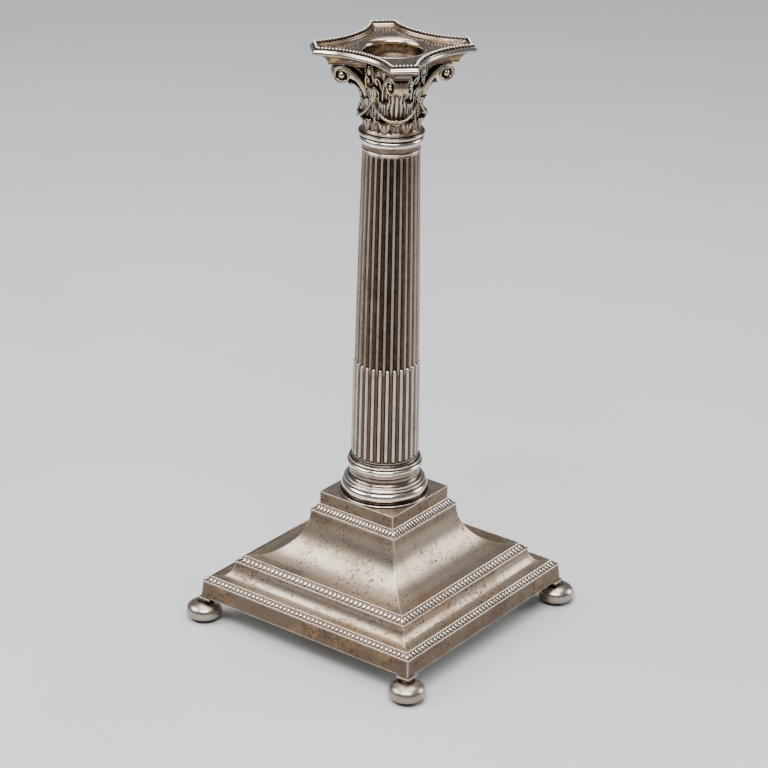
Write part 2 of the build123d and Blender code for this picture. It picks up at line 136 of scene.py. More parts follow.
def soften(outline, radius=0.25, steps=3, guard=0.3):
    """Round the sharp corners of a closed outline. Returns its points, and how hollow and how rubbed each is.

    The guard is a point's distance beyond each rounding, which keeps the flat next to it flat.
    """
    outline = [np.array(p, float) for p in outline]
    count = len(outline)
    area = sum(outline[i - 1][0] * p[1] - p[0] * outline[i - 1][1] for i, p in enumerate(outline))
    points, hollow, rub = [], [], []

    def add(point, how_hollow=0.0, how_rubbed=0.0):
        points.append(point)
        hollow.append(how_hollow)
        rub.append(how_rubbed)

    for i, here in enumerate(outline):
        back = outline[i - 1] - here
        ahead = outline[(i + 1) % count] - here
        back_length = np.linalg.norm(back)
        ahead_length = np.linalg.norm(ahead)
        straight = -np.dot(back, ahead) / (back_length * ahead_length)
        if straight > 0.93:
            add(here)
            continue
        outward = (ahead[0] * back[1] - ahead[1] * back[0]) * area > 0
        sharp = min(1.0, 1.3 * (1 - straight))
        cut = min(radius, 0.45 * back_length, 0.45 * ahead_length)
        first = here + back / back_length * cut
        last = here + ahead / ahead_length * cut
        if 0.45 * back_length > cut + guard:
            add(here + back / back_length * (cut + guard))
        for t in np.linspace(0, 1, steps + 1):
            place = first * (1 - t) ** 2 + here * 2 * t * (1 - t) + last * t * t
            add(place, 0.0 if outward else 0.7 * sharp, sharp if outward else 0.0)
        if 0.45 * ahead_length > cut + guard:
            add(here + ahead / ahead_length * (cut + guard))
    return points, np.array(hollow), np.array(rub)


def arc(start, through, end, count=8):
    """Points of the circle arc through three points, both ends included."""
    (ax, ay), (bx, by), (cx, cy) = start, through, end
    d = 2 * (ax * (by - cy) + bx * (cy - ay) + cx * (ay - by))
    aa, bb, cc = ax * ax + ay * ay, bx * bx + by * by, cx * cx + cy * cy
    ux = (aa * (by - cy) + bb * (cy - ay) + cc * (ay - by)) / d
    uy = (aa * (cx - bx) + bb * (ax - cx) + cc * (bx - ax)) / d
    radius = hypot(ax - ux, ay - uy)
    a0, a1, a2 = (atan2(y - uy, x - ux) for x, y in (start, through, end))
    turn = (a2 - a0) % (2 * pi)
    if (a1 - a0) % (2 * pi) > turn:
        turn -= 2 * pi
    return [(ux + radius * cos(a0 + turn * t), uy + radius * sin(a0 + turn * t))
            for t in np.linspace(0, 1, count)]


def curve(points, count):
    """A smooth line through points (Catmull-Rom), evenly sampled in its parameter."""
    p = np.array(points, float)
    p = np.vstack([2 * p[0] - p[1], p, 2 * p[-1] - p[-2]])
    result = []
    for t in np.linspace(0, len(points) - 1, count):
        i = min(int(t), len(points) - 2)
        f = t - i
        a, b, c, d = p[i], p[i + 1], p[i + 2], p[i + 3]
        result.append(0.5 * (2 * b + (c - a) * f + (2 * a - 5 * b + 4 * c - d) * f * f
                             + (3 * b - a - 3 * c + d) * f ** 3))
    return np.array(result)


def polar(radius, a, z):
    """A point at a distance from the column's axis, an angle round it in radians and a height."""
    return (radius * cos(a), radius * sin(a), z)


def unit(vectors):
    """The same vectors with a length of 1."""
    return vectors / np.maximum(np.linalg.norm(vectors, axis=-1, keepdims=True), 1e-9)


def turned(heap, outline, around, hollow=0.0, rub=0.0, centre=(0, 0)):
    """A closed outline in (radius, height) turned about an upright axis, the column's if none is given."""
    x, y = centre
    angles = np.linspace(0, 2 * pi, around, endpoint=False)
    rings = [[(x + r * cos(a), y + r * sin(a), z) for a in angles] for r, z in outline]
    heap.add_rings(rings, hollow, rub)


def square_ring(half, z, edge=0.3, steps=3, guard=0.4):
    """A square with slightly rounded corners, and a point on each side close to each corner."""
    inner = half - edge
    quarter = [(half, inner - guard)]
    quarter += [(inner + edge * cos(a), inner + edge * sin(a)) for a in np.linspace(0, pi / 2, steps + 1)]
    quarter.append((inner - guard, half))
    return [(c * x - s * y, s * x + c * y, z) for c, s in QUARTER_TURNS for x, y in quarter]


def square_sweep(heap, outline, edge=0.3, hollow=0.0, rub=0.0):
    """A closed outline in (half side, height) run round a square."""
    rings = [square_ring(half, z, edge) for half, z in outline]
    columns = len(rings[0])
    shade = np.repeat(np.broadcast_to(hollow, (len(outline),)), columns)
    corner = np.tile([0.0] + [0.75] * (columns // 4 - 2) + [0.0], 4 * len(outline))
    worn = np.maximum(np.repeat(np.broadcast_to(rub, (len(outline),)), columns), corner)
    heap.add(rings, loop_faces(len(rings), columns), shade, worn * (1 - shade))


def star_ring(half, cut, hollow, side_steps=32):
    """Plan points of a square with cut corners and sides that curve inwards."""
    end = half - cut
    quarter = arc((half, -end), (half - hollow, 0), (half, end), side_steps + 1)
    quarter += [(half - cut * t, end + cut * t) for t in (0.04, 0.35, 0.65, 0.96)]
    return [(c * x - s * y, s * x + c * y) for c, s in QUARTER_TURNS for x, y in quarter]


def round_ring(radius, like):
    """Points of a circle in the directions of another ring's points."""
    return [(radius * x / hypot(x, y), radius * y / hypot(x, y)) for x, y in like]


def star_sweep(heap, levels, hollow=0.0):
    """A closed solid from a list of (plan ring, height)."""
    heap.add_rings([[(x, y, z) for x, y in ring] for ring, z in levels], hollow)


def ball(heap, centre, axes, around=12, up=8, hollow=0.0, foot_tarnish_and_shade=None):
    """An ellipsoid; axes are its three half-axis vectors, the last one pointing out."""
    a, b, c = (np.array(v, float) for v in axes)
    centre = np.array(centre, float)
    if foot_tarnish_and_shade is None:
        foot_tarnish_and_shade = hollow
    points = [centre - c]
    shade = [foot_tarnish_and_shade]
    # the ball darkens towards its foot, where it sits on another surface: tarnish there, and painted shade
    for i in range(1, up):
        lat = -pi / 2 + pi * i / up
        for j in range(around):
            lon = 2 * pi * j / around
            points.append(centre + a * cos(lat) * cos(lon) + b * cos(lat) * sin(lon) + c * sin(lat))
            shade.append(hollow + (foot_tarnish_and_shade - hollow) * (0.5 - 0.5 * sin(lat)))
    points.append(centre + c)
    shade.append(hollow)
    faces = []
    top = len(points) - 1
    for j in range(around):
        k = (j + 1) % around
        faces.append((0, 1 + k, 1 + j))
        faces.append((top, top - around + j, top - around + k))
        for i in range(up - 2):
            low = 1 + i * around
            faces.append((low + j, low + k, low + around + k, low + around + j))
    heap.add(points, faces, shade)


def tube(heap, path, radius, around=10, hollow=0.0):
    """A closed tube along points; radius is one number or one for each point."""
    path = np.asarray(path, float)
    radii = np.broadcast_to(radius, (len(path),))
    points = []
    for here, ahead, r in zip(path, unit(np.gradient(path, axis=0)), radii):
        across = np.cross(ahead, (0, 0, 1))
        if np.linalg.norm(across) < 1e-3:
            across = np.cross(ahead, (1, 0, 0))
        across = unit(across)
        other = np.cross(across, ahead)
        for j in range(around):
            a = 2 * pi * j / around
            points.append(here + r * (across * cos(a) + other * sin(a)))
    heap.add(points, bar_faces(len(path), around), hollow)


def thick_sheet(heap, grid, thickness, hollow, rub):
    """A closed solid from a grid of points and the same grid moved back along its normals."""
    rows, columns = grid.shape[:2]
    size = rows * columns
    normal = unit(np.cross(np.gradient(grid, axis=1), np.gradient(grid, axis=0)))
    index = np.arange(size).reshape(rows, columns)
    faces = []
    for a in index[:-1, :-1].ravel().tolist():
        b, c, d = a + 1, a + columns + 1, a + columns
        faces += [(a, b, c, d), (size + a, size + d, size + c, size + b)]
    rim = np.concatenate([index[0], index[1:, -1], index[-1, -2::-1], index[-2:0:-1, 0]]).tolist()
    for a, b in zip(rim, rim[1:] + rim[:1]):
        faces.append((b, a, size + a, size + b))
    points = np.stack([grid, grid - normal * thickness])
    heap.add(points, faces, np.append(hollow, np.full(size, 0.9)), np.append(rub, np.zeros(size)))


def turn_about_axis(points, degrees):
    """Points turned about the column's axis."""
    a = radians(degrees)
    c, s = cos(a), sin(a)
    points = np.asarray(points, float)
    result = points.copy()
    result[..., 0] = c * points[..., 0] - s * points[..., 1]
    result[..., 1] = s * points[..., 0] + c * points[..., 1]
    return result


def turned_ball(heap, degrees, centre, axes, around=12, up=8, hollow=0.0, foot_tarnish_and_shade=None):
    """A ball given where the +X side has it, then turned about the column's axis."""
    axes = [turn_about_axis(v, degrees) for v in axes]
    ball(heap, turn_about_axis(centre, degrees), axes, around, up, hollow, foot_tarnish_and_shade)


# ------------------------------------------------------------------ materials

class Graph:
    """Short calls for building one material's nodes."""

    def __init__(self, name):
        self.material = bpy.data.materials.new(name)
        self.material.use_nodes = True
        self.nodes = self.material.node_tree.nodes
        self.links = self.material.node_tree.links
        self.nodes.clear()
        self.shader = self.new("BsdfPrincipled")
        self.new("OutputMaterial", Surface=self.shader.outputs[0])
        self.place = self.new("TexCoord").outputs["Object"]

    def put(self, socket, value):
        """Link another node's output to a socket, or set the socket to a plain value."""
        if hasattr(value, "links"):
            self.links.new(value, socket)
        else:
            socket.default_value = value

    def fill(self, node, **inputs):
        """Put values into a node's inputs. An underscore stands for the space in an input's name."""
        for name, value in inputs.items():
            self.put(node.inputs[name.replace("_", " ")], value)
        return node

    def new(self, kind, **inputs):
        """A new node of a kind, with values in its inputs."""
        return self.fill(self.nodes.new("ShaderNode" + kind), **inputs)

    def finish(self, **inputs):
        """The finished material, from the inputs of its surface shader."""
        self.fill(self.shader, **inputs)
        return self.material

    def noise(self, scale, detail=4.0, rough=0.55, stretch=None, distortion=0.0):
        place = self.place
        if stretch:
            place = self.new("Mapping", Vector=place, Scale=stretch).outputs[0]
        return self.new("TexNoise", Vector=place, Scale=scale, Detail=detail, Roughness=rough,
                        Distortion=distortion).outputs["Fac"]

    def spots(self, scale):
        return self.new("TexVoronoi", Vector=self.place, Scale=scale).outputs["Distance"]

    def ramp(self, value, low, high, start=0.0, end=1.0):
        """A smooth step from start to end while the value goes from low to high."""
        node = self.new("MapRange", Value=value, From_Min=low, From_Max=high, To_Min=start, To_Max=end)
        node.clamp = True
        node.interpolation_type = "SMOOTHSTEP"
        return node.outputs["Result"]

    def math(self, kind, a, b=0.0):
        node = self.new("Math")
        node.operation = kind
        node.use_clamp = kind in ("ADD", "MULTIPLY", "MAXIMUM")
        self.put(node.inputs[0], a)
        self.put(node.inputs[1], b)
        return node.outputs[0]

    def times(self, a, b):
        return self.math("MULTIPLY", a, b)

    def mix(self, share, a, b, kind="MIX"):
        node = self.new("Mix")
        node.data_type = "RGBA"
        node.blend_type = kind
        return self.fill(node, Factor=share, A=a, B=b).outputs["Result"]

    def attribute(self, name):
        """A number that each vertex carries."""
        node = self.new("Attribute")
        node.attribute_name = name
        return node.outputs["Fac"]

    def height_part(self, vector):
        """The Z part of a vector."""
        return self.new("SeparateXYZ", Vector=vector).outputs["Z"]

    def upright(self):
        """1 where the surface faces sideways or down, 0 where it faces up: the mask for painted shade on
        sideways faces.
        """
        normal = self.new("NewGeometry").outputs["Normal"]
        return self.ramp(self.height_part(normal), 0.05, 0.42, 1.0, 0.0)

    def shelter(self, distance):
        """1 in corners and under edges, 0 in the open: the mask for painted shade."""
        node = self.new("AmbientOcclusion", Distance=distance)
        node.samples = 8
        return self.ramp(node.outputs["AO"], 0.35, 0.95, 1.0, 0.0)

    def bump(self, height, strength, distance, below=None):
        node = self.new("Bump", Height=height, Strength=strength, Distance=distance)
        if below is not None:
            self.put(node.inputs["Normal"], below)
        return node.outputs[0]


HAIRLINE = 0.05             # strength of the fine scratches
CLEAN = (0.66, 0.60, 0.53, 1)
POLISHED = (0.90, 0.81, 0.71, 1)
FOOT = (0.52, 0.46, 0.40, 1)
DULL = (0.45, 0.37, 0.295, 1)
# the colour that sideways faces are multiplied by: painted shade
SIDEWAYS_PAINTED_SHADE = (0.28, 0.225, 0.18, 1)
# the colour that the skirt's sideways faces are also multiplied by: painted shade
SKIRT_PAINTED_SHADE = (0.50, 0.46, 0.43, 1)
SKIRT_SHADE_TOP = 0.0225          # height in metres above which the painted shade on the skirt fades out
AMBER = (0.36, 0.22, 0.105, 1)
WARM = (0.34, 0.25, 0.175, 1)
BROWN = (0.085, 0.052, 0.034, 1)
UMBER = (0.135, 0.09, 0.064, 1)
BLACK_BROWN = (0.022, 0.014, 0.011, 1)
RUBBED = (0.86, 0.79, 0.71, 1)


def silver(name, rough, warm, speckle, hollow_tarnish_and_shade, shelter=0.003, clean=CLEAN, rainbow=0.0, rub=0.8,
           shade=0.8, skirt=0.0):
    """Old silver: bright where it is rubbed, warm patches of tarnish, dark dots, tarnish and painted shade in
    corners.

    rough is the roughness of clean silver, and shelter is how near a surface must be to shelter another, in
    metres. The amounts from 0 to 1 are of warm tarnish, speckle, tarnish with painted shade in hollows,
    rainbow tints, bright rubbed edges and painted shade on sideways faces, with more of that shade on the
    skirt.
    """
    g = Graph(name)
    patches = g.ramp(g.noise(34, 5, 0.6, distortion=0.4), 0.42, 0.68)
    mottle = g.ramp(g.noise(240, 6, 0.65), 0.35, 0.75)
    stain = g.math("ADD", g.times(patches, 0.65), g.times(mottle, 0.35))
    stain = g.times(stain, warm)
    colour = g.mix(stain, clean, WARM)
    # painted shade: faces that turn sideways or down are darkened, as much as shade says
    upright = g.upright()
    colour = g.mix(g.times(upright, shade), colour, SIDEWAYS_PAINTED_SHADE, "MULTIPLY")
    # painted shade: sideways faces low on the skirt are darkened more, fading out upwards
    if skirt:
        low = g.ramp(g.height_part(g.place), SKIRT_SHADE_TOP, SKIRT_SHADE_TOP + 0.0045, skirt, 0.0)
        colour = g.mix(g.times(upright, low), colour, SKIRT_PAINTED_SHADE, "MULTIPLY")
    if rainbow:
        hue = g.noise(95, 3, 0.5, distortion=1.2)
        gold = g.ramp(hue, 0.5, 0.62)
        teal = g.ramp(hue, 0.44, 0.36)
        colour = g.mix(g.times(gold, rainbow), colour, (0.78, 0.56, 0.27, 1))
        colour = g.mix(g.times(teal, rainbow * 0.8), colour, (0.42, 0.52, 0.53, 1))
    dots = g.times(g.ramp(g.spots(600), 0.34, 0.16), g.ramp(g.noise(85, 5, 0.65), 0.47, 0.58))
    grime = g.times(g.ramp(g.noise(480, 6, 0.72), 0.53, 0.64), g.ramp(g.noise(30, 5, 0.65), 0.42, 0.6))
    dirt = g.times(g.math("MAXIMUM", dots, grime), speckle)
    gilt = g.times(g.ramp(g.noise(17, 3, 0.5, distortion=0.8), 0.56, 0.68), speckle)
    colour = g.mix(g.times(gilt, 0.6), colour, AMBER)
    colour = g.mix(dirt, colour, BROWN)
    # tarnish in hollows, and painted shade in corners and under edges, darken the colour towards umber and
    # black-brown
    tarnish_and_shade = g.math("MAXIMUM", g.shelter(shelter), g.attribute("hollow"))
    tarnish_and_shade = g.times(tarnish_and_shade, g.ramp(g.noise(300, 4, 0.6), 0.2, 0.8, 0.75, 1.0))
    dark = g.times(tarnish_and_shade, hollow_tarnish_and_shade)
    colour = g.mix(g.ramp(dark, 0.05, 0.55), colour, UMBER)
    colour = g.mix(g.ramp(dark, 0.45, 0.95), colour, BLACK_BROWN)
    rubbed = g.times(g.attribute("rub"), g.ramp(g.noise(150, 4, 0.6), 0.3, 0.6, 0.45, 1.0))
    colour = g.mix(g.times(rubbed, rub), colour, RUBBED)
    roughness = g.math("ADD", g.ramp(stain, 0, 1, rough, rough + 0.14), g.times(dirt, 0.25))
    roughness = g.math("ADD", roughness, g.times(dark, 0.2))
    hairlines = g.noise(900, 3, 0.6, stretch=(0.12, 1.0, 0.5))
    fine = g.bump(hairlines, HAIRLINE, 0.00008)
    waves = g.bump(g.noise(55, 2, 0.4), 0.12, 0.0004, fine)
    pits = g.bump(dirt, 0.15, 0.0001, waves)
    return g.finish(Base_Color=colour, Metallic=1.0, Roughness=roughness, Normal=pits)


plate_silver = silver("plate_silver", rough=0.32, warm=1.0, speckle=1.0, hollow_tarnish_and_shade=0.85, shelter=0.004,
                      clean=DULL, rub=0.55, skirt=0.5)
bright_silver = silver("bright_silver", rough=0.15, warm=0.5, speckle=0.35, hollow_tarnish_and_shade=0.95, shade=0.3)
ball_silver = silver("ball_silver", rough=0.25, warm=0.6, speckle=0.35, hollow_tarnish_and_shade=0.95, clean=FOOT,
                     shade=0.35)
moulding_silver = silver("moulding_silver", rough=0.12, warm=0.5, speckle=0.3, hollow_tarnish_and_shade=0.95,
                         clean=POLISHED, shade=0.0)
bead_silver = silver("bead_silver", rough=0.2, warm=0.5, speckle=0.2, hollow_tarnish_and_shade=1.0, shelter=0.0012,
                     rub=0.6, shade=0.25)
shaft_silver = silver("shaft_silver", rough=0.18, warm=0.8, speckle=0.3, hollow_tarnish_and_shade=1.0, shelter=0.0016,
                      rub=0.5, shade=0.7)
chased_silver = silver("chased_silver", rough=0.2, warm=0.9, speckle=0.3, hollow_tarnish_and_shade=0.92, shelter=0.0035,
                       rainbow=0.6, shade=0.5)
nozzle_silver = silver("nozzle_silver", rough=0.17, warm=0.9, speckle=0.4, hollow_tarnish_and_shade=0.9, clean=DULL,
                       rainbow=0.4, shade=1.0)


def plain_material(name, colour, darker, rough, metallic=1.0, grain=420):
    """A material for the pieces inside and under the stick."""
    g = Graph(name)
    patches = g.ramp(g.noise(60, 5, 0.6), 0.35, 0.7)
    shade = g.mix(patches, colour, darker)
    # painted shade: darker in corners and under edges
    shade = g.mix(g.times(g.shelter(0.003), 0.7), shade, BLACK_BROWN)
    return g.finish(Base_Color=shade, Metallic=metallic, Roughness=g.ramp(patches, 0, 1, rough, rough + 0.15),
                    Normal=g.bump(g.noise(grain, 4, 0.6), 0.15, 0.0002))


sheet_metal = plain_material("sheet_metal", (0.62, 0.58, 0.52, 1), (0.40, 0.33, 0.26, 1), 0.32)
steel = plain_material("steel_rod", (0.42, 0.40, 0.38, 1), (0.24, 0.21, 0.19, 1), 0.38)
pitch = plain_material("filler_pitch", (0.20, 0.14, 0.09, 1), (0.12, 0.08, 0.05, 1), 0.75, 0.0, 300)

for names, material in (
        (("closing_plate", "capital_sleeve"), sheet_metal),
        (("tie_rod", "tie_washer", "tie_nut"), steel),
        (("base_filler", "column_filler"), pitch)):
    for node in names:
        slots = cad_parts[node].data.materials
        slots.clear()
        slots.append(material)


# ------------------------------------------------------------------ base

SMALL_COVE = [(59.4, 11.1), (57.6, 11.55), (56.1, 12.9), (54.9, 14.6), (54.1, 16.4), (53.8, 18.0)]
TALL_COVE = [(45.5, 22.0), (41.0, 23.2), (36.6, 26.0), (33.0, 29.5), (30.2, 33.3), (28.2, 37.6), (27.0, 42.2),
             (26.6, 46.6)]
WALL = 1.2
BANDS = (       # CAD node, foot and head of the slope in (half side, height), beads along a side
    ("lower_bead_border", (65.6, 8.6), (62.3, 11.1), 50),
    ("middle_bead_border", (53.8, 18.8), (50.0, 22.0), 39),
    ("upper_bead_border", (26.6, 46.6), (23.0, 50.1), 24),
)


def base_shell():
    """The hollow stepped base: skirt, small cove and tall cove."""
    outline = [(65.1, 0.0), (66.4, 0.0), (66.2, 2.2), (65.9, 5.5), (65.6, 8.6), (62.3, 11.1)]
    outline += [tuple(p) for p in curve(SMALL_COVE, 14)]
    outline += [(53.8, 18.8), (50.0, 22.0)]
    outline += [tuple(p) for p in curve(TALL_COVE, 26)]
    outline += [(23.0, 50.1), (2.6, 50.1), (2.6, 50.1 - WALL), (23.0 - WALL, 50.1 - WALL)]
    outline += [(h - WALL * 0.8, z - WALL * 0.6) for h, z in curve(TALL_COVE, 12)[::-1]]
    outline += [(50.0 - WALL, 22.0 - WALL), (53.8 - WALL, 18.6), (53.8 - WALL, 15.4), (57.6, 11.1 - WALL),
                (62.3 - WALL, 11.1 - WALL), (65.0, 8.0), (65.0, 1.6)]
    heap = Heap()
    points, hollow, rub = soften(outline, 0.3, 3)
    square_sweep(heap, points, 0.35, hollow, rub)
    heap.piece("base_shell", "skin", plate_silver)


def bead_border(node, foot, head, count):
    """Two fillets with a trench between them, and a row of beads in the trench."""
    foot, head = np.array(foot), np.array(head)
    width = np.linalg.norm(head - foot)
    along = (head - foot) / width
    out = np.array((along[1], -along[0]))

    def at(s, n):
        return tuple(foot + along * s + out * n)

    outline = [at(0, -0.5), at(-0.05, 0.42), at(0.15, 0.6), at(0.38, 0.55), at(0.5, 0.08)]
    outline += [at(width - 0.58, 0.08), at(width - 0.44, 0.55), at(width - 0.16, 0.62), at(width, 0.5),
                at(width, -0.5)]
    points, _, rub = soften(outline, 0.08, 2, 0.1)
    in_trench = np.array([float(np.dot(p - foot, out)) for p in points]) < 0.4
    heap = Heap()
    rub = np.where(in_trench, 0.0, np.maximum(rub, 0.8))
    square_sweep(heap, points, 0.35, np.where(in_trench, 0.62, 0.0), rub)
    half, z = at((width - 0.1) / 2, 0.05)
    spacing = 2 * half / count
    across = (width - 1.25) / 2
    for q in QUARTERS:
        for i in range(count):
            y = -half + i * spacing
            corner = i == 0
            lean = out[0] * (sqrt(0.5) if corner else 1)
            up = unit(np.array((lean, -lean if corner else 0, out[1])))
            run = np.array((1, 1, 0)) / sqrt(2) if corner else np.array((0, 1, 0))
            over = np.cross(run, up)
            turned_ball(heap, q, (half, y, z), (run * spacing * 0.4, over * across, up * 0.68), 12, 7,
                        foot_tarnish_and_shade=0.8)
    heap.piece(node, "beads", bead_silver)


def plinth_block():
    """The square block under the column."""
    outline = [(2.6, 50.15), (23.0, 50.15), (23.3, 50.4), (23.3, 57.1), (2.6, 57.1)]
    heap = Heap()
    points, hollow, rub = soften(outline, 0.22, 3)
    square_sweep(heap, points, 0.3, hollow, rub)
    heap.piece("plinth_block", "skin", plate_silver)


FOOT_PLACE = 65.2           # a foot's axis and its plate's middle stand this far out along X and along Y
FOOT_PLATE_PLACE = 63.8
FOOT_RADIUS = 9.3
FOOT_HALF_HEIGHT = 5.1
FOOT_MIDDLE = -7.6


def feet():
    """Four flattened balls on short necks, each under a thin square plate."""
    heap = Heap()
    exponent = 2 / 2.35
    outline = [(0.3, -LIFT), (3.4, -LIFT)]
    for t in np.linspace(-66, 78, 33):
        c, s = cos(radians(t)), sin(radians(t))
        r = FOOT_RADIUS * abs(c) ** exponent
        z = FOOT_MIDDLE + FOOT_HALF_HEIGHT * copysign(abs(s) ** exponent, s)
        outline.append((r, max(z, 0.1 - LIFT)))
    outline += [(2.6, -2.55), (2.4, -2.4), (2.3, -1.2), (0.3, -1.2)]
    shade = [0.9 if z > -2.7 else 0.0 for r, z in outline]
    plate, plate_hollow, plate_rub = soften([(0.5, -1.2), (3.7, -1.2), (3.7, 0.0), (0.5, 0.0)], 0.2, 2)
    rings = np.array([square_ring(half, z, 0.3) for half, z in plate])
    plates = Heap()
    for sx, sy in ((1, 1), (1, -1), (-1, 1), (-1, -1)):
        turned(heap, outline, 56, shade, centre=(FOOT_PLACE * sx, FOOT_PLACE * sy))
        plates.add_rings(rings + (FOOT_PLATE_PLACE * sx, FOOT_PLATE_PLACE * sy, 0), plate_hollow, plate_rub)
    heap.piece("ball_feet", "skin", ball_silver)
    plates.piece("foot_plates", "skin", plate_silver)


# ------------------------------------------------------------------ column

FLUTES = 28
FLUTE_SHARE = 0.66          # a flute's width, as a share of the distance from one flute to the next
FLUTE_DEPTH = 1.15
SHAFT_BOTTOM, SHAFT_TOP = (z - LIFT for z in levels_of("column_shaft"))
SHAFT_FOOT_RADIUS, SHAFT_HEAD_RADIUS = 16.7, 14.1
SHAFT_SWELL = 0.35
SHAFT_WALL = 2.2
FLUTE_LOW, FLUTE_HIGH = SHAFT_BOTTOM + 1.4, SHAFT_TOP - 0.9
REED_HIGH = 129.6
REED_HALF = 1.08


def shaft_radius(z):
    """The shaft tapers, with a slight swell half way up."""
    t = (z - SHAFT_BOTTOM) / (SHAFT_TOP - SHAFT_BOTTOM)
    taper = SHAFT_FOOT_RADIUS + (SHAFT_HEAD_RADIUS - SHAFT_FOOT_RADIUS) * t
    return taper + SHAFT_SWELL * sin(pi * t)


def round_end(near, reach):
    """How wide a round-ended shape is at a distance from its end, as a share of its full width."""
    return sqrt(max(0.0, 1 - max(0.0, 1 - near / reach) ** 2))


def column_base():
    """Thin ring, torus, fillets, scotia, smaller torus and thin ring, from the bottom up."""
    bore = 14.5
    outline = [(bore, 77.4), (bore, 57.1), (22.8, 57.1)]
    outline += arc((22.85, 57.2), (23.15, 57.6), (22.8, 58.0), 6)
    outline += [(21.6, 58.2), (21.0, 58.6)]
    outline += arc((20.9, 58.9), (21.95, 61.2), (20.7, 63.4), 18)
    outline += [(20.2, 63.6), (20.2, 63.9)]
    outline += arc((20.3, 64.0), (20.75, 64.5), (20.3, 65.1), 6)
    outline += [(19.4, 65.25), (19.3, 66.3), (18.7, 66.45)]
    outline += arc((18.4, 66.5), (17.1, 68.6), (18.0, 70.9), 14)
    outline += [(18.5, 71.0), (18.5, 72.4)]
    outline += arc((18.5, 72.6), (19.2, 73.9), (18.5, 75.1), 12)
    outline += [(17.9, 75.25), (17.9, 75.6)]
    outline += arc((18.1, 75.7), (18.4, 76.1), (18.0, 76.5), 6)
    outline += [(16.9, 76.9), (16.7, 77.4)]
    points, hollow, rub = soften(outline, 0.13, 2, 0.15)
    for i, (_, z) in enumerate(points):
        if 58.05 < z < 59.1 or 75.15 < z < 75.65 or 63.45 < z < 63.95 or z > 76.7:      # the grooves
            hollow[i] = 0.9
        elif 66.4 < z < 72.5:           # the scotia
            hollow[i] = max(hollow[i], 0.5)
    heap = Heap()
    turned(heap, points, 160, hollow, rub * 0.8)
    heap.piece("column_base", "skin", moulding_silver)


def column_shaft():
    """Flutes with rounded ends; the columns of points close in on each flute's end."""
    pitch_angle = 2 * pi / FLUTES
    across = [-1.0, -0.93, -0.75, -0.5, -0.25, 0.0, 0.25, 0.5, 0.75, 0.93, 1.0]
    fillet = [0.12, 0.5, 0.88]
    heights = [SHAFT_BOTTOM, FLUTE_LOW - 0.05]
    end_steps = [0.02, 0.12, 0.3, 0.55, 0.85, 1.25, 1.8, 2.6]
    heights += [FLUTE_LOW + s for s in end_steps]
    heights += list(np.linspace(FLUTE_LOW + 6, FLUTE_HIGH - 6, 30))
    heights += [FLUTE_HIGH - s for s in end_steps[::-1]]
    heights += [FLUTE_HIGH + 0.05, SHAFT_TOP]
    points, shade = [], []
    for z in heights:
        radius = shaft_radius(z)
        near = min(z - FLUTE_LOW, FLUTE_HIGH - z)
        fluted = near > 0
        reeded = fluted and z < REED_HIGH - 0.5
        scale = max(0.02, round_end(near, FLUTE_SHARE * pitch_angle * radius / 2))
        half = scale * FLUTE_SHARE * pitch_angle / 2
        for k in range(FLUTES):
            centre = k * pitch_angle
            for u in across:
                deep = sqrt(1 - u * u) * fluted
                points.append(polar(radius - FLUTE_DEPTH * scale * deep, centre + u * half, z))
                shade.append(max(deep * 0.95, 0.75 * reeded))
            for t in fillet:
                points.append(polar(radius, centre + half + (pitch_angle - 2 * half) * t, z))
                shade.append(0.66 * reeded)
    columns = FLUTES * (len(across) + len(fillet))
    for z in (SHAFT_TOP, SHAFT_BOTTOM):
        r = shaft_radius(z) - SHAFT_WALL
        for j in range(columns):
            a = 2 * pi * j / columns - FLUTE_SHARE * pitch_angle / 2
            points.append(polar(r, a, z))
            shade.append(0.0)
    heap = Heap()
    heap.add(points, loop_faces(len(heights) + 2, columns), shade)
    heap.piece("column_shaft", "skin", shaft_silver)


def stop_reeds():
    """A rounded reed in the foot of each flute, with domed ends."""
    low, high = FLUTE_LOW + 0.25, REED_HIGH
    ends = [0.0, 0.06, 0.18, 0.36, 0.6, 0.9]
    heights = [low + s for s in ends]
    heights += list(np.linspace(low + 4, high - 4, 8))
    heights += [high - s for s in ends[::-1]]
    section = np.linspace(0, pi, 11)
    points, shade, worn = [], [], []
    for z in heights:
        scale = max(0.05, round_end(min(z - low, high - z), REED_HALF * 1.05))
        radius = shaft_radius(z)
        for t in section:
            a = REED_HALF * scale * cos(t) / radius
            r = radius - 0.78 + 1.3 * scale * sin(t)
            points.append(polar(r, a, z))
            shade.append(max(0.0, 1.0 - 1.6 * sin(t)))
            # the crest of each reed is brightened: rubbed wear, and a painted highlight
            worn.append(max(0.0, 2.4 * sin(t) - 1.4))
        for x in (-REED_HALF * scale, REED_HALF * scale):
            a = x / radius
            r = radius - 1.1
            points.append(polar(r, a, z))
            shade.append(0.9)
            worn.append(0.0)
    faces = bar_faces(len(heights), len(section) + 2)
    heap = Heap()
    for k in range(FLUTES):
        heap.add(turn_about_axis(points, 360 * k / FLUTES), faces, shade, worn)
    heap.piece("stop_reeds", "skin", shaft_silver)


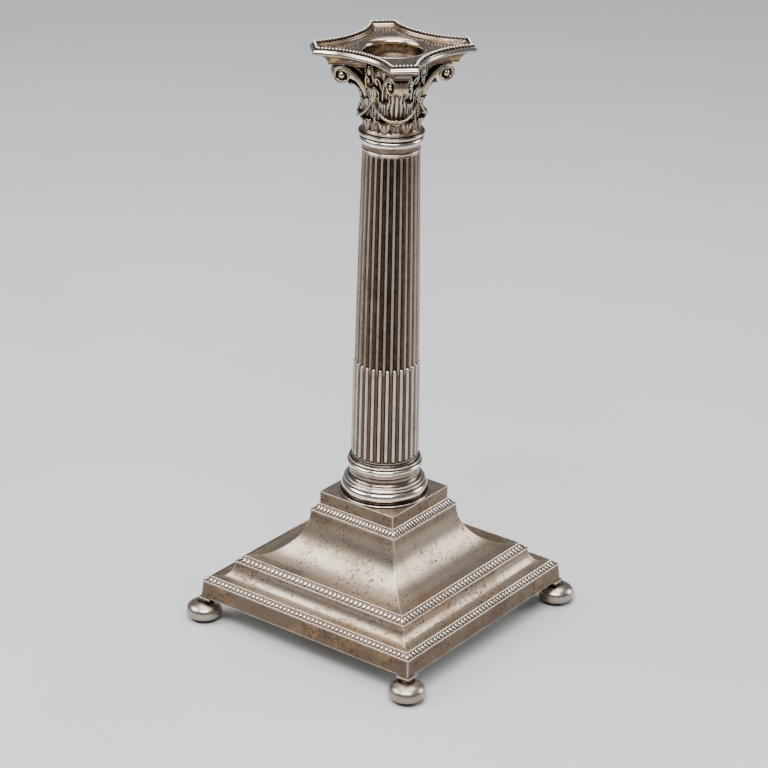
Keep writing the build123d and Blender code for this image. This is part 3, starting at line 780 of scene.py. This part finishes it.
def neck_collar():
    """The hollow neck, the torus and the flared ring on top of the shaft."""
    outline = [(11.9, 250.0), (11.9, 240.2), (14.1, 240.2), (14.35, 240.3), (14.35, 240.9)]
    outline += arc((14.1, 241.1), (14.1, 242.6), (14.5, 243.8), 8)
    outline += arc((14.7, 243.9), (15.65, 245.7), (14.7, 247.4), 14)
    outline += [(14.4, 247.6), (14.5, 247.9)]
    outline += arc((15.0, 248.0), (15.95, 248.3), (16.2, 249.0), 7)
    outline += [(16.15, 249.35), (15.85, 249.5), (15.75, 249.8), (15.4, 250.0)]
    points, hollow, rub = soften(outline, 0.1, 2, 0.12)
    for i, (_, z) in enumerate(points):
        if 247.45 < z < 247.95 or z > 249.4:        # the grooves
            hollow[i] = 0.8
        elif 241.0 < z < 243.85:        # the plain neck, darkened with painted shadow under the torus
            hollow[i] = 0.6
    heap = Heap()
    turned(heap, points, 144, hollow, rub * 0.6)
    heap.piece("neck_collar", "skin", moulding_silver)


# ------------------------------------------------------------------ capital

BELL_Z = (250.0, 251.2, 253.0, 262.0, 272.0, 279.0, 283.5)
BELL_RADIUS = (15.2, 13.9, 12.9, 12.9, 14.0, 15.7, 17.0)
BELL_RIBS = 32
BELL_AROUND = 256


def bell_radius(z):
    """The radius of the bell at a height, without its ribs."""
    return float(np.interp(z, BELL_Z, BELL_RADIUS))


def capital_bell():
    """The basket behind the leaves, with shallow upright ribs."""
    heights = [250.0, 250.6, 251.2, 252, 253] + list(np.linspace(254, 283.5, 30))
    angles = np.linspace(0, 2 * pi, BELL_AROUND, endpoint=False)
    waves = np.cos(BELL_RIBS * angles)
    rings, shade = [], []
    for z in heights:
        radii = bell_radius(z) + 0.16 * waves * (252.5 < z < 281)
        rings.append([polar(r, a, z) for r, a in zip(radii, angles)])
        shade.append(0.45 - 0.35 * waves if z > 252 else np.full(BELL_AROUND, 0.5))
    for r, z in ((16.3, 283.5), (13.5, 272.0), (12.35, 262.0), (12.35, 250.0)):
        rings.append([polar(r, a, z) for a in angles])
        shade.append(np.full(BELL_AROUND, 0.5))
    heap = Heap()
    heap.add(rings, loop_faces(len(rings), BELL_AROUND), shade)
    heap.piece("capital_bell", "skin", chased_silver)


def acanthus_leaf(heap, degrees, spine, width, lobes, ribs, slant=0.75, thickness=0.55):
    """A leaf on a spine in (radius, height), with a lobed edge, a midrib and side ribs."""
    rows, columns = 44, 25
    line = curve(spine, rows)
    grid = np.zeros((rows, columns, 3))
    hollow = np.zeros((rows, columns))
    rub = np.zeros((rows, columns))
    for i in range(rows):
        v = i / (rows - 1)
        swell = sin(pi * min(1.0, 0.3 + 0.7 * v) ** 0.9) ** 0.45 if v < 0.999 else 0.0
        notch = abs(sin(pi * lobes * v)) ** 0.6
        half = max(0.25, width / 2 * swell * (0.76 + 0.24 * notch))
        radius, z = line[i]
        step = unit(line[min(i + 1, rows - 1)] - line[max(i - 1, 0)])
        out_r, out_z = step[1], -step[0]
        for j in range(columns):
            u = -1 + 2 * j / (columns - 1)
            midrib = 0.4 * exp(-(u / 0.14) ** 2)
            vein = cos(2 * pi * (ribs * abs(u) - slant * v * lobes))
            body = 0.6 * (1 - 0.7 * u * u)
            rise = body + midrib + 0.24 * vein * min(1.0, 3 * abs(u)) * (1 - v ** 6)
            r = radius + out_r * rise
            a = u * half / max(radius, 1)
            grid[i, j] = (r * cos(a), r * sin(a), z + out_z * rise)
            furrow = max(0.0, 0.42 - 0.42 * vein) if abs(u) > 0.14 else 0.0
            hollow[i, j] = min(1.0, furrow + 0.6 * (1 - v) ** 3)
            rub[i, j] = max(0.0, vein) * 0.6 * (v > 0.3) + 0.8 * (v > 0.82) * (abs(u) < 0.9)
    grid = turn_about_axis(grid, degrees)
    thick_sheet(heap, grid, thickness, hollow, np.minimum(rub, 1) * (1 - hollow))
    for k in range(1, int(lobes)):
        i = int((k + 0.5) / lobes * (rows - 1))
        for j in (1, columns - 2):
            ball(heap, grid[i, j], ((0.5, 0, 0), (0, 0.5, 0), (0, 0, 0.7)), 10, 7, foot_tarnish_and_shade=0.6)


LOWER_SPINE = [(13.3, 250.4), (13.4, 252.6), (13.7, 254.8), (14.3, 256.6), (15.3, 257.7), (16.1, 257.6),
               (16.2, 256.7)]
SHEATH_SPINE = [(13.0, 254.0), (13.3, 258.5), (13.7, 262.5), (14.3, 265.8), (15.3, 267.8), (16.2, 267.9),
                (16.3, 267.0)]
CORNER_SPINE = [(13.1, 252.4), (13.4, 256), (13.8, 260), (14.3, 264), (15.1, 268), (16.8, 271.4),
                (18.9, 273.5), (20.5, 274.1), (21.2, 273.4), (20.7, 272.7)]
FACE_SPINE = [(13.1, 252.4), (13.3, 256), (13.5, 260), (13.9, 264), (14.4, 268), (15.1, 271.8), (16.2, 274.2),
              (17.3, 274.8), (17.8, 274.0)]


def acanthus():
    """A row of low leaves, and above it short sheaths and tall leaves under the corners and the flowers."""
    lower = Heap()
    for k in range(8):
        acanthus_leaf(lower, 22.5 + 45 * k, LOWER_SPINE, 10.2, 2.5, 1.6)
    lower.piece("lower_acanthus", "leaves", chased_silver)
    upper = Heap()
    for k in range(8):
        acanthus_leaf(upper, 22.5 + 45 * k, SHEATH_SPINE, 6.6, 2.5, 1.5)
    for k in range(4):
        acanthus_leaf(upper, 45 + 90 * k, CORNER_SPINE, 9.4, 4.5, 2.0, 0.0)
        acanthus_leaf(upper, 90 * k, FACE_SPINE, 8.2, 4.0, 2.0, 0.3)
    upper.piece("upper_acanthus", "leaves", chased_silver)


def ribbon(path, width, thickness):
    """Points, faces, hollows and rubs of a band along a path in a plane of constant Y.

    The width is across, along Y, and the thickness is in the path's own plane.
    """
    section = [(-1.0, -0.5), (-0.85, -1.0), (0.85, -1.0), (1.0, -0.5), (1.0, 0.6), (0.8, 1.0), (0.45, 0.62),
               (-0.45, 0.62), (-0.8, 1.0), (-1.0, 0.6)]
    points, shade, worn = [], [], []
    side = np.array((0, 1.0, 0))
    for here, ahead, wide, thick in zip(path, unit(np.gradient(path, axis=0)), width, thickness):
        up = unit(np.cross(ahead, side))
        for x, y in section:
            points.append(here + side * x * wide / 2 - up * y * thick / 2)
            shade.append(0.75 if abs(x) < 0.5 and y > 0 else 0.0)
            worn.append(0.9 if abs(x) == 0.8 else 0.0)
    return np.array(points), bar_faces(len(path), len(section)), shade, worn


def splay(points, side):
    """Lead a scroll's plane points inward to the corner's middle line as they go out, as its horn does."""
    points = np.array(points, float)
    x = points[:, 0]
    back = np.clip(28.0 - x, 0, None)
    points[:, 1] += side * (2.0 + 0.64 * back - 0.026 * back ** 2)
    return points


VOLUTE_MIDDLE = (24.9, 278.5)           # (distance out from the axis, height)
VOLUTE_RADIUS = 3.95
HORN = [(11.6, 0, 264.0), (12.9, 0, 268.6), (15.0, 0, 273.2), (18.6, 0, 278.2), (22.4, 0, 281.6)]
WEB = [(11.8, 266.0), (12.9, 269.0), (15.0, 273.6), (18.6, 278.6), (22.4, 281.6), (26.5, 283.6),
       (14.0, 283.6)]
WEB_HALF = 4.4


def corner_volute(heap, q, side):
    """One scroll on its horn, with a ball eye and a disc behind the eye."""
    out, height = VOLUTE_MIDDLE
    scroll = []
    for t in np.linspace(0, 1, 52):
        turn = radians(97 - 400 * t)
        size = VOLUTE_RADIUS * (1 - 0.36 * t)
        scroll.append((out + size * cos(turn), 0.25 * t * side, height + size * sin(turn)))
    path = splay(np.vstack([curve(HORN, 22), scroll]), side)
    share = np.linspace(0, 1, len(path))
    width = np.interp(share, (0, 0.3, 1), (2.6, 2.6, 2.9))
    thickness = np.interp(share, (0, 0.3, 0.6, 1), (3.0, 2.4, 1.4, 0.9))
    points, faces, shade, worn = ribbon(path, width, thickness)
    heap.add(turn_about_axis(points, q), faces, shade, worn)
    eye = splay([(out, 0.55 * side, height)], side)[0]
    turned_ball(heap, q, eye, ((1.75, 0, 0), (0, 0, 1.8), (0, 1.3 * side, 0)), 16, 10)
    # the disc behind the eye is dark: tarnish in the scroll's recess, and painted shade
    back = [(out + 2.9 * cos(a), -1.15 * side, height + 2.9 * sin(a))
            for a in np.linspace(0, 2 * pi, 24, endpoint=False)]
    front = [(x, y + 0.5 * side, z) for x, y, z in back]
    disc = np.vstack([splay(back, side), splay(front, side)])
    heap.add(turn_about_axis(disc, q), plate_faces(len(back)), 0.85)


def corner_volutes():
    """A pair of scrolls under each corner of the abacus, with a tongue between them and a web behind them."""
    heap = Heap()
    for q in CORNERS:
        for side in (-1, 1):
            corner_volute(heap, q, side)
        tongue = ((0, 2.3, 0), (0, 0, 4.6), (3.1, 0, 0))
        turned_ball(heap, q, (26.2, 0, 278.8), tongue, 20, 12, foot_tarnish_and_shade=0.5)
        points = [(x, y, z) for y in (-WEB_HALF, WEB_HALF) for x, z in WEB]
        heap.add(turn_about_axis(points, q), plate_faces(len(WEB)), 0.55)
    heap.piece("corner_volutes", "scrolls", chased_silver)


def fleurons():
    """The flower on each side of the abacus, with a small scroll curling in under it from each side."""
    heap = Heap()
    for q in QUARTERS:
        turned_ball(heap, q, (17.9, 0, 283.4), ((0, 1.35, 0), (0, 0, 3.0), (1.5, 0, 0)), 14, 8, 0.1, 0.6)
        for i in range(6):
            z = 280.2 + 1.15 * i
            spread = 1.75 + 0.35 * sin(pi * i / 5)
            for side in (-1, 1):
                turned_ball(heap, q, (17.9 + 0.12 * i, spread * side, z),
                            ((0, 0.62, 0), (0, 0, 0.62), (0.85, 0, 0)), 9, 6, foot_tarnish_and_shade=0.9)
        for side in (-1, 1):
            path = [polar(bell_radius(z) + 0.7, radians(q + side * a), z)
                    for a, z in curve([(21, 268.5), (19, 273.0), (15, 277.6), (10.5, 279.4), (7.2, 278.0),
                                       (7.6, 275.9), (9.8, 275.9), (9.9, 277.1)], 36)]
            tube(heap, path, np.linspace(0.75, 0.42, len(path)), 8, 0.05)
            end = polar(bell_radius(277) + 0.9, radians(q + side * 8.9), 277.0)
            ball(heap, end, ((0.6, 0, 0), (0, 0.6, 0), (0, 0, 0.6)), 8, 6)
    heap.piece("fleurons", "flowers", chased_silver)


def garlands():
    """Swags from the middle of one side to the middle of the next, each with a ring at its lowest."""
    heap = Heap()
    for q in QUARTERS:
        steps = np.linspace(0, 1, 61)
        path = [polar(15.6 + 0.7 * sin(pi * t), radians(q + 90 * t),
                      258.4 + 9.7 * abs(2 * t - 1) ** 2.6) for t in steps]
        radius = 0.56 + 0.2 * np.sin(pi * steps) + 0.07 * np.cos(steps * 60 * pi)
        tube(heap, path, radius, 8, 0.02)
        ring = [polar(16.75, radians(q + 45) + 1.25 * cos(s) / 16.7, 257.9 + 1.25 * sin(s))
                for s in np.linspace(0, 2 * pi * 0.98, 22)]
        tube(heap, ring, 0.33, 7, 0.02)
    heap.piece("garlands", "swags", chased_silver)


def garland_buttons():
    """The beaded button on each side that the swags hang from, with a drop below it and ribbons beside it."""
    heap = Heap()
    for q in QUARTERS:
        def bead(out, aside, z, size, thick):
            axes = ((0, size, 0), (0, 0, size), (thick, 0, 0))
            turned_ball(heap, q, (out, aside, z), axes, foot_tarnish_and_shade=0.9)

        bead(15.6, 0, 268.3, 0.75, 0.85)
        for i in range(8):
            a = 2 * pi * i / 8
            bead(15.4, 1.1 * cos(a), 268.3 + 1.1 * sin(a), 0.5, 0.55)
        for i in range(7):
            bead(15.2 - 0.03 * i, 0, 266.2 - 1.12 * i, 0.62 - 0.035 * i, 0.6)
        for side in (-1, 1):
            wave = curve([(1, 268.6), (5, 270.2), (9, 269.0), (12, 270.3)], 16)
            path = [polar(15.4, radians(q + side * a), z) for a, z in wave]
            tube(heap, path, np.linspace(0.42, 0.2, 16), 7, 0.05)
    heap.piece("garland_buttons", "drops", chased_silver)


def capital_abacus():
    """The slab on top of the capital, with hollow sides, cut corners and a moulded edge."""
    bottom, top = 283.55, 288.68
    bore = 15.6
    low_shape = (25.0, 5.6, 7.4)        # half side, cut corner and hollow of the sides, at the edge's foot
    high_shape = (28.2, 7.2, 7.0)       # the same at its head

    def ring(t):
        return star_ring(*(a + (b - a) * t for a, b in zip(low_shape, high_shape)))

    edge = [(-0.08, bottom), (0.0, 283.7), (0.0, 284.2), (-0.06, 284.35), (0.02, 284.6), (0.1, 285.2),
            (0.26, 286.2), (0.5, 287.1), (0.78, 287.75), (0.9, 287.85), (0.95, 288.0), (1.0, 288.15),
            (1.0, 288.55), (0.97, top)]
    levels = [(ring(t), z) for t, z in edge]
    first = levels[0][0]
    levels += [(round_ring(bore, first), top), (round_ring(bore, first), bottom)]
    shade = np.array([0.3, 0, 0, 0.9, 0.5, 0.3, 0.2, 0.2, 0.3, 0.8, 0.3, 0, 0, 0, 0.5, 0.5])
    heap = Heap()
    star_sweep(heap, levels, shade)
    heap.piece("capital_abacus", "skin", nozzle_silver)


# ------------------------------------------------------------------ nozzle

NOZZLE_HALF = 30.5
NOZZLE_CUT = 8.3
NOZZLE_HOLLOW = 7.0
NOZZLE_BEADS = 34           # from the middle of one side to the middle of the next
SOCKET_BORE = 11.1


def nozzle_levels(edge):
    """Rings of the pan's outline, moved outwards, and their heights, from pairs of (offset, height)."""
    return [(star_ring(NOZZLE_HALF + o, NOZZLE_CUT + 0.6 * o, NOZZLE_HOLLOW), z) for o, z in edge]


def nozzle_pan():
    """The drip pan, with two small steps inside its border and a round hole for the socket."""
    levels = nozzle_levels([
        (0.6, 288.85), (0.6, 291.35), (0.45, 291.45), (-1.3, 291.45), (-1.45, 291.4), (-1.6, 291.0),
        (-1.75, 290.95), (-2.4, 290.9), (-2.55, 290.8), (-2.65, 290.4), (-2.9, 290.3), (-5.0, 290.25)])
    like = levels[0][0]
    levels += [(round_ring(r, like), z) for r, z in ((17.9, 290.25), (17.55, 290.2), (17.55, 288.85))]
    heap = Heap()
    star_sweep(heap, levels, np.array([0, 0, 0, 0, 0, 0.6, 0.5, 0.1, 0, 0.75, 0.5, 0.1, 0.05, 0.3, 0.3]))
    heap.piece("nozzle_pan", "skin", nozzle_silver, body="nozzle")


def nozzle_rim():
    """The rounded moulding round the pan's edge."""
    heap = Heap()
    star_sweep(heap, nozzle_levels([
        (0.62, 289.1), (1.3, 289.1), (1.75, 289.2), (1.98, 289.5), (2.0, 290.0), (1.9, 290.4), (1.65, 290.75),
        (1.3, 291.05), (1.12, 291.25), (1.05, 291.42), (0.9, 291.5), (0.62, 291.5)]))
    heap.piece("nozzle_rim", "skin", bright_silver, body="nozzle")


def nozzle_bead_border():
    """A row of beads on a flat band round the pan."""
    heap = Heap()
    star_sweep(heap, nozzle_levels([
        (-0.85, 291.42), (-0.85, 291.6), (-0.6, 291.75), (0.35, 291.75), (0.5, 291.6), (0.5, 291.42)]), 0.9)
    outline = star_ring(NOZZLE_HALF - 0.15, NOZZLE_CUT, NOZZLE_HOLLOW, 64)
    path = np.array(outline + outline[:1])
    steps = np.linalg.norm(np.diff(path, axis=0), axis=1)
    distance = np.concatenate([[0], np.cumsum(steps)])
    for k in range(4 * NOZZLE_BEADS):
        along = (k + 0.5) * distance[-1] / 4 / NOZZLE_BEADS
        x = np.interp(along, distance, path[:, 0])
        y = np.interp(along, distance, path[:, 1])
        ball(heap, (x, y, 292.3), ((0.78, 0, 0), (0, 0.78, 0), (0, 0, 0.85)), 12, 8, foot_tarnish_and_shade=0.9)
    heap.piece("nozzle_bead_border", "beads", bead_silver, body="nozzle")


def nozzle_socket():
    """The candle socket, closed at the bottom, with a flared mouth that is darker the deeper it goes."""
    outline = [(0.4, 258.5), (0.4, 257.3), (11.7, 257.3), (11.7, 281.0), (15.0, 284.6), (15.1, 288.85),
               (17.5, 288.85), (17.5, 290.3), (17.0, 290.3)]
    outline += arc((16.8, 290.28), (15.05, 289.45), (14.2, 287.6), 14)
    outline += [(14.0, 285.4), (13.2, 283.2), (SOCKET_BORE, 281.0), (SOCKET_BORE, 258.5)]
    points, hollow, rub = soften(outline, 0.2, 2)
    depth_shade = np.array([0.0 if z > 288.2 else min(0.8, (288.2 - z) * 0.16) for _, z in points])
    heap = Heap()
    turned(heap, points, 128, np.maximum(hollow, depth_shade), rub * 0.5)
    heap.piece("nozzle_socket", "skin", nozzle_silver, body="nozzle")


base_shell()
for band in BANDS:
    bead_border(*band)
plinth_block()
feet()
column_base()
column_shaft()
stop_reeds()
neck_collar()
capital_bell()
acanthus()
corner_volutes()
fleurons()
garlands()
garland_buttons()
capital_abacus()
nozzle_pan()
nozzle_rim()
nozzle_bead_border()
nozzle_socket()


# ------------------------------------------------------------------ floor, light and camera

def floor():
    size = 3.0
    corners = [(-size, -size, 0), (size, -size, 0), (size, size, 0), (-size, size, 0)]
    mesh = bpy.data.meshes.new("floor")
    mesh.from_pydata(corners, [], [(0, 1, 2, 3)])
    g = Graph("floor_paper")
    tone = g.ramp(g.noise(6, 3, 0.5), 0.3, 0.7)
    paper = g.mix(tone, (0.60, 0.61, 0.62, 1), (0.63, 0.64, 0.65, 1))
    mesh.materials.append(g.finish(Base_Color=paper, Roughness=0.6))
    obj = bpy.data.objects.new("floor", mesh)
    bpy.context.scene.collection.objects.link(obj)


def direction(azimuth, elevation):
    """The unit vector that points to an azimuth from +X and an elevation, in degrees."""
    a, e = radians(azimuth), radians(elevation)
    return np.array((cos(e) * cos(a), cos(e) * sin(a), sin(e)))


def put_facing(name, data, place, azimuth, elevation, roll=0.0):
    """Put a light or the camera at a place, its back to an azimuth from +X and an elevation, in degrees."""
    out = direction(azimuth, elevation)
    level = direction(azimuth + 90, 0)
    upright = np.cross(out, level)
    turn = radians(roll)
    right = level * cos(turn) + upright * sin(turn)
    up = upright * cos(turn) - level * sin(turn)
    obj = bpy.data.objects.new(name, data)
    obj.matrix_world = Matrix([[right[i], up[i], out[i], place[i]] for i in range(3)] + [[0, 0, 0, 1]])
    bpy.context.scene.collection.objects.link(obj)
    return obj


def softbox(name, azimuth, elevation, distance, size, power):
    """A light of a size in metres and a power in watts that faces the middle of the stick from a distance."""
    light = bpy.data.lights.new(name, "AREA")
    light.shape = "RECTANGLE"
    light.size, light.size_y = size
    light.energy = power
    place = np.array((0, 0, 0.15)) + distance * direction(azimuth, elevation)
    put_facing(name, light, place, azimuth, elevation)


def studio():
    world = bpy.data.worlds.new("studio")
    world.use_nodes = True
    background = world.node_tree.nodes["Background"]
    background.inputs[0].default_value = (0.72, 0.74, 0.78, 1)
    background.inputs[1].default_value = 0.3
    bpy.context.scene.world = world
    softbox("left_softbox", -141, 42, 1.35, (0.9, 0.7), 13)
    softbox("right_softbox", 54, 20, 1.35, (0.6, 0.65), 7)
    softbox("top_softbox", 120, 80, 1.25, (1.0, 1.0), 15)
    softbox("front_softbox", -60, 58, 1.25, (1.0, 0.45), 20)


def camera():
    """The camera looks down at the near corner of the base, very slightly rolled."""
    data = bpy.data.cameras.new("camera")
    data.sensor_width = 36
    data.lens = 125.44
    place = (0.732516, -0.979691, 0.67496)
    bpy.context.scene.camera = put_facing("camera", data, place, -53.1611, 24.0973, 1.1796)


floor()
studio()
camera()
